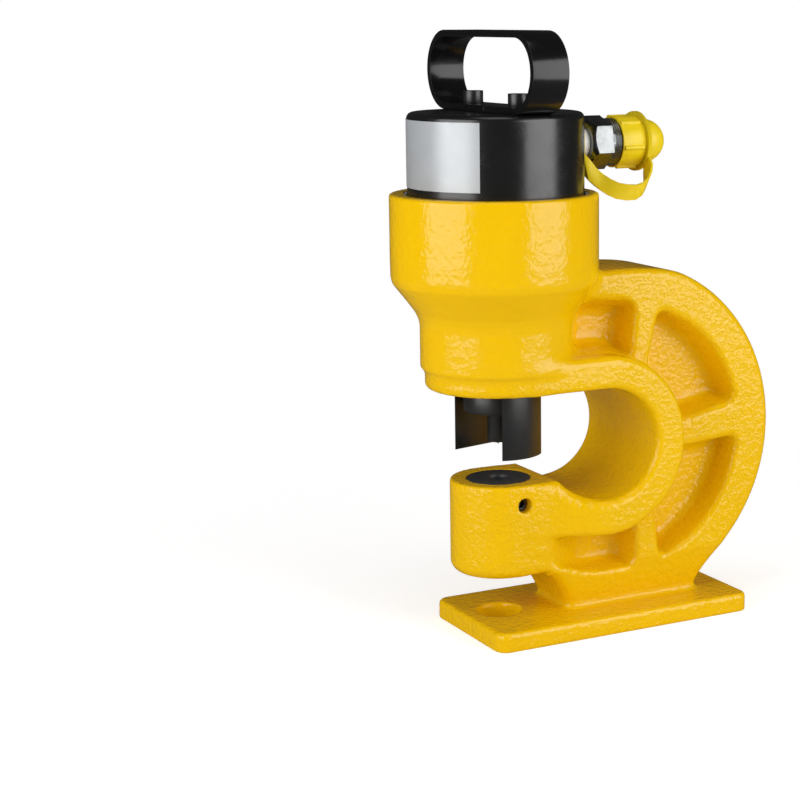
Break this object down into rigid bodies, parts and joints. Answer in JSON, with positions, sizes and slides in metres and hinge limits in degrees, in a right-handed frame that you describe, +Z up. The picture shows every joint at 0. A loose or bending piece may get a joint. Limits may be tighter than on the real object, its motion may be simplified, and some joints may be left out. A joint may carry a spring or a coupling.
{
  "type": "hydraulic hole punch",
  "caption": "Portable hydraulic hole punch: cast C-frame on a base plate with a vertical cylinder, spring-return ram and punch, stripper fork, die, carry handle and capped oil coupler.",
  "frame": {"origin": "on the punch axis at the underside of the base plate, the lower end of the slug hole", "axes": "+Z up along the punch axis, +X from the punch axis towards the closed back of the throat and the oil coupler, +Y to the side away from the die lock screw"},
  "size_m": [0.264, 0.149, 0.3948],
  "materials": {
    "frame_paint": "gloss yellow paint over a cast surface",
    "black_steel": "black satin gloss",
    "handle_black": "gloss black paint",
    "black_oxide": "black oxide, turned",
    "steel": "ground steel",
    "zinc": "bright zinc",
    "bronze": "turned bronze",
    "label": "satin foil",
    "washer_white": "matte",
    "cap_yellow": "satin moulded plastic",
    "seal": "matte",
    "wear_ring": "matte"
  },
  "bodies": {
    "frame": {"c_frame": "frame_paint", "cylinder_body": "black_steel", "guide_bush": "bronze", "rod_wiper": "seal", "stripper_fork": "black_oxide", "die": "black_oxide", "die_lock_screw": "black_oxide", "cylinder_lock_screws": "black_oxide", "carry_handle": "handle_black", "handle_screws": "black_oxide", "label_plate": "label", "port_washer": "washer_white", "coupler_body": "zinc", "poppet_spring": "steel", "return_spring": "steel", "cap_strap": "cap_yellow"},
    "ram": {"piston": "steel", "piston_seal": "seal", "piston_wear_ring": "wear_ring", "piston_screw": "black_oxide", "ram_rod": "steel", "punch": "black_oxide", "punch_nut": "black_oxide"},
    "strap_ring": {"cap_ring": "cap_yellow"},
    "cap": {"dust_cap": "cap_yellow"},
    "coupler_valve": {"valve_poppet": "steel"}
  },
  "joints": [
    {"name": "ram_slide", "type": "slide", "parent": "frame", "child": "ram", "axis": [0, 0, -1], "range_m": [0, 0.026], "stiffness_N_per_m": 6000, "springref_m": -0.02, "deforming": ["return_spring"]},
    {"name": "cap_draw", "type": "slide", "parent": "frame", "child": "strap_ring", "axis": [1, 0, 0], "range_m": [0, 0.012], "deforming": ["cap_strap"]},
    {"name": "cap_turn", "type": "hinge", "parent": "strap_ring", "child": "cap", "pos_m": [0.0956, 0, 0.3212], "axis": [1, 0, 0], "range_deg": [0, 1440]},
    {"name": "poppet_slide", "type": "slide", "parent": "frame", "child": "coupler_valve", "axis": [-1, 0, 0], "range_m": [0, 0.003], "stiffness_N_per_m": 500, "springref_m": -0.004, "deforming": ["poppet_spring"]}
  ],
  "couplings": [
    {"joint": "cap_turn", "follows": "cap_draw", "rad_per_m": 2094.4}
  ]
}
